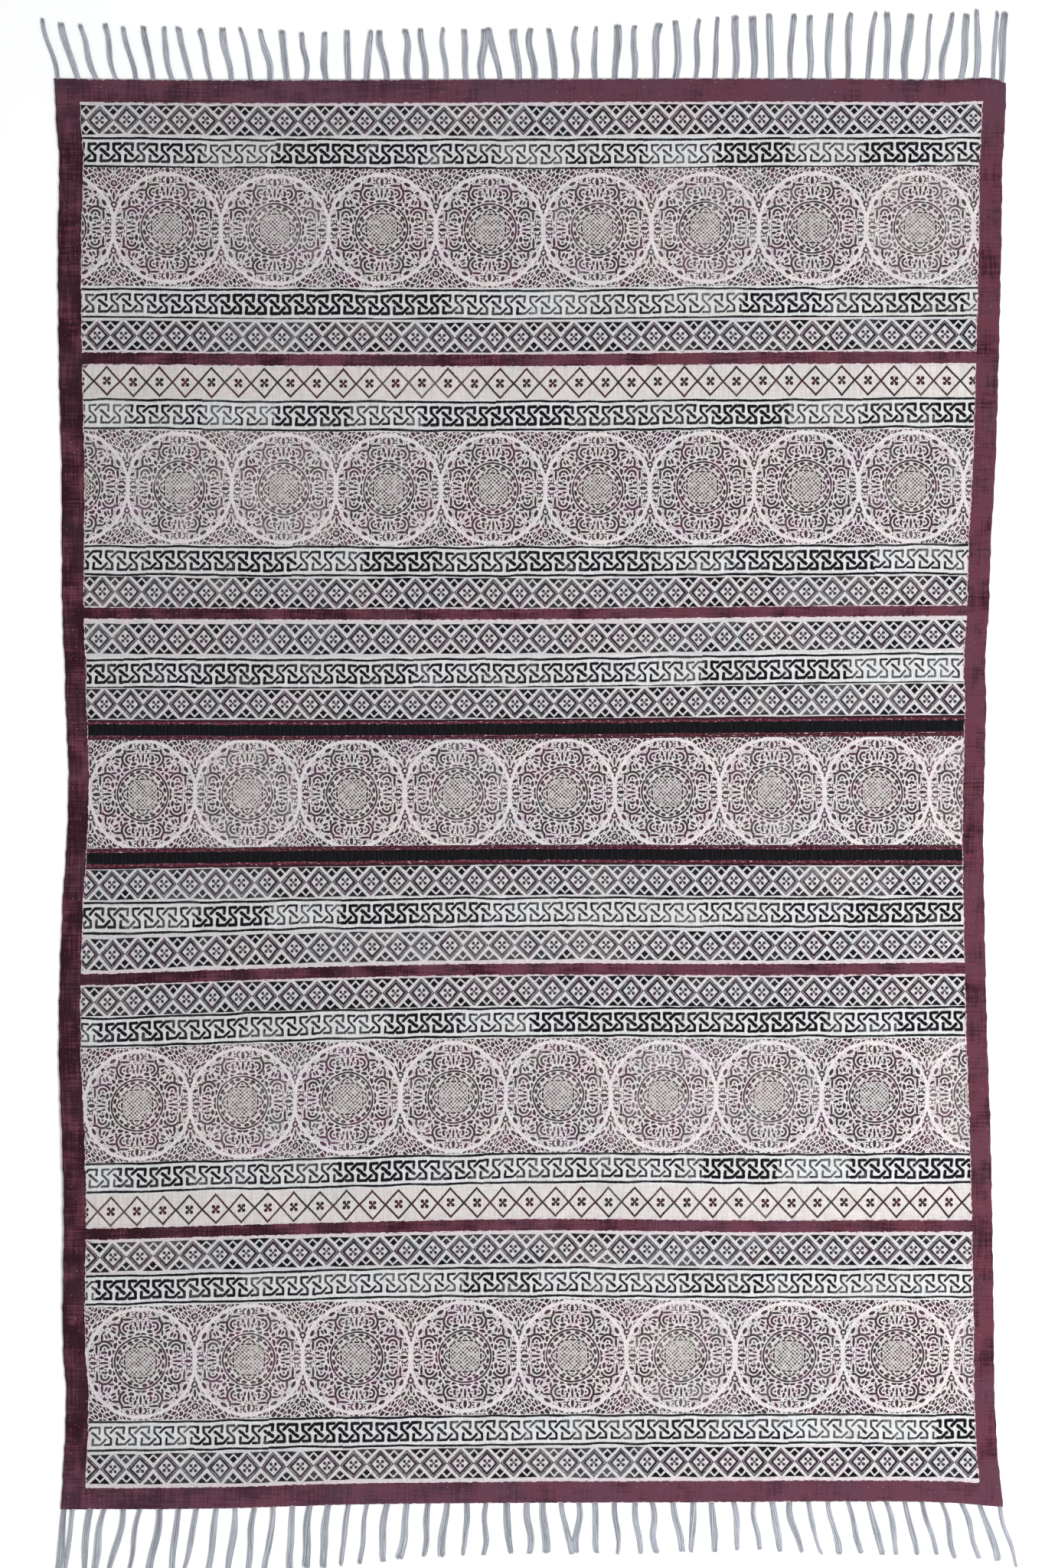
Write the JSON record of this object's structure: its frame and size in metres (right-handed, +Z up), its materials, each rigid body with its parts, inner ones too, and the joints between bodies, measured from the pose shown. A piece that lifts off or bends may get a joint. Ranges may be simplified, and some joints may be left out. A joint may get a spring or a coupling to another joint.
{
  "type": "dhurrie rug",
  "caption": "Flat handwoven cotton rug, oblong and slightly waisted, printed in bands, with a tasselled fringe along each end.",
  "frame": {"origin": "middle of the rug's footprint, on the face it lies on", "axes": "+Z up out of the printed face, +Y along the rug to its head end, +X across it to the right"},
  "size_m": [1.2294, 1.9786, 0.003],
  "materials": {
    "woven_cotton": "flat-woven cotton, matt, undyed cream ground block-printed in near-black, with plum borders",
    "warp_yarn": "loose bundles of pale blue-grey cotton warp yarn, matt"
  },
  "bodies": {
    "root": {"rug_cloth": "woven_cotton", "fringe_head_end": "warp_yarn", "fringe_foot_end": "warp_yarn"}
  },
  "joints": []
}
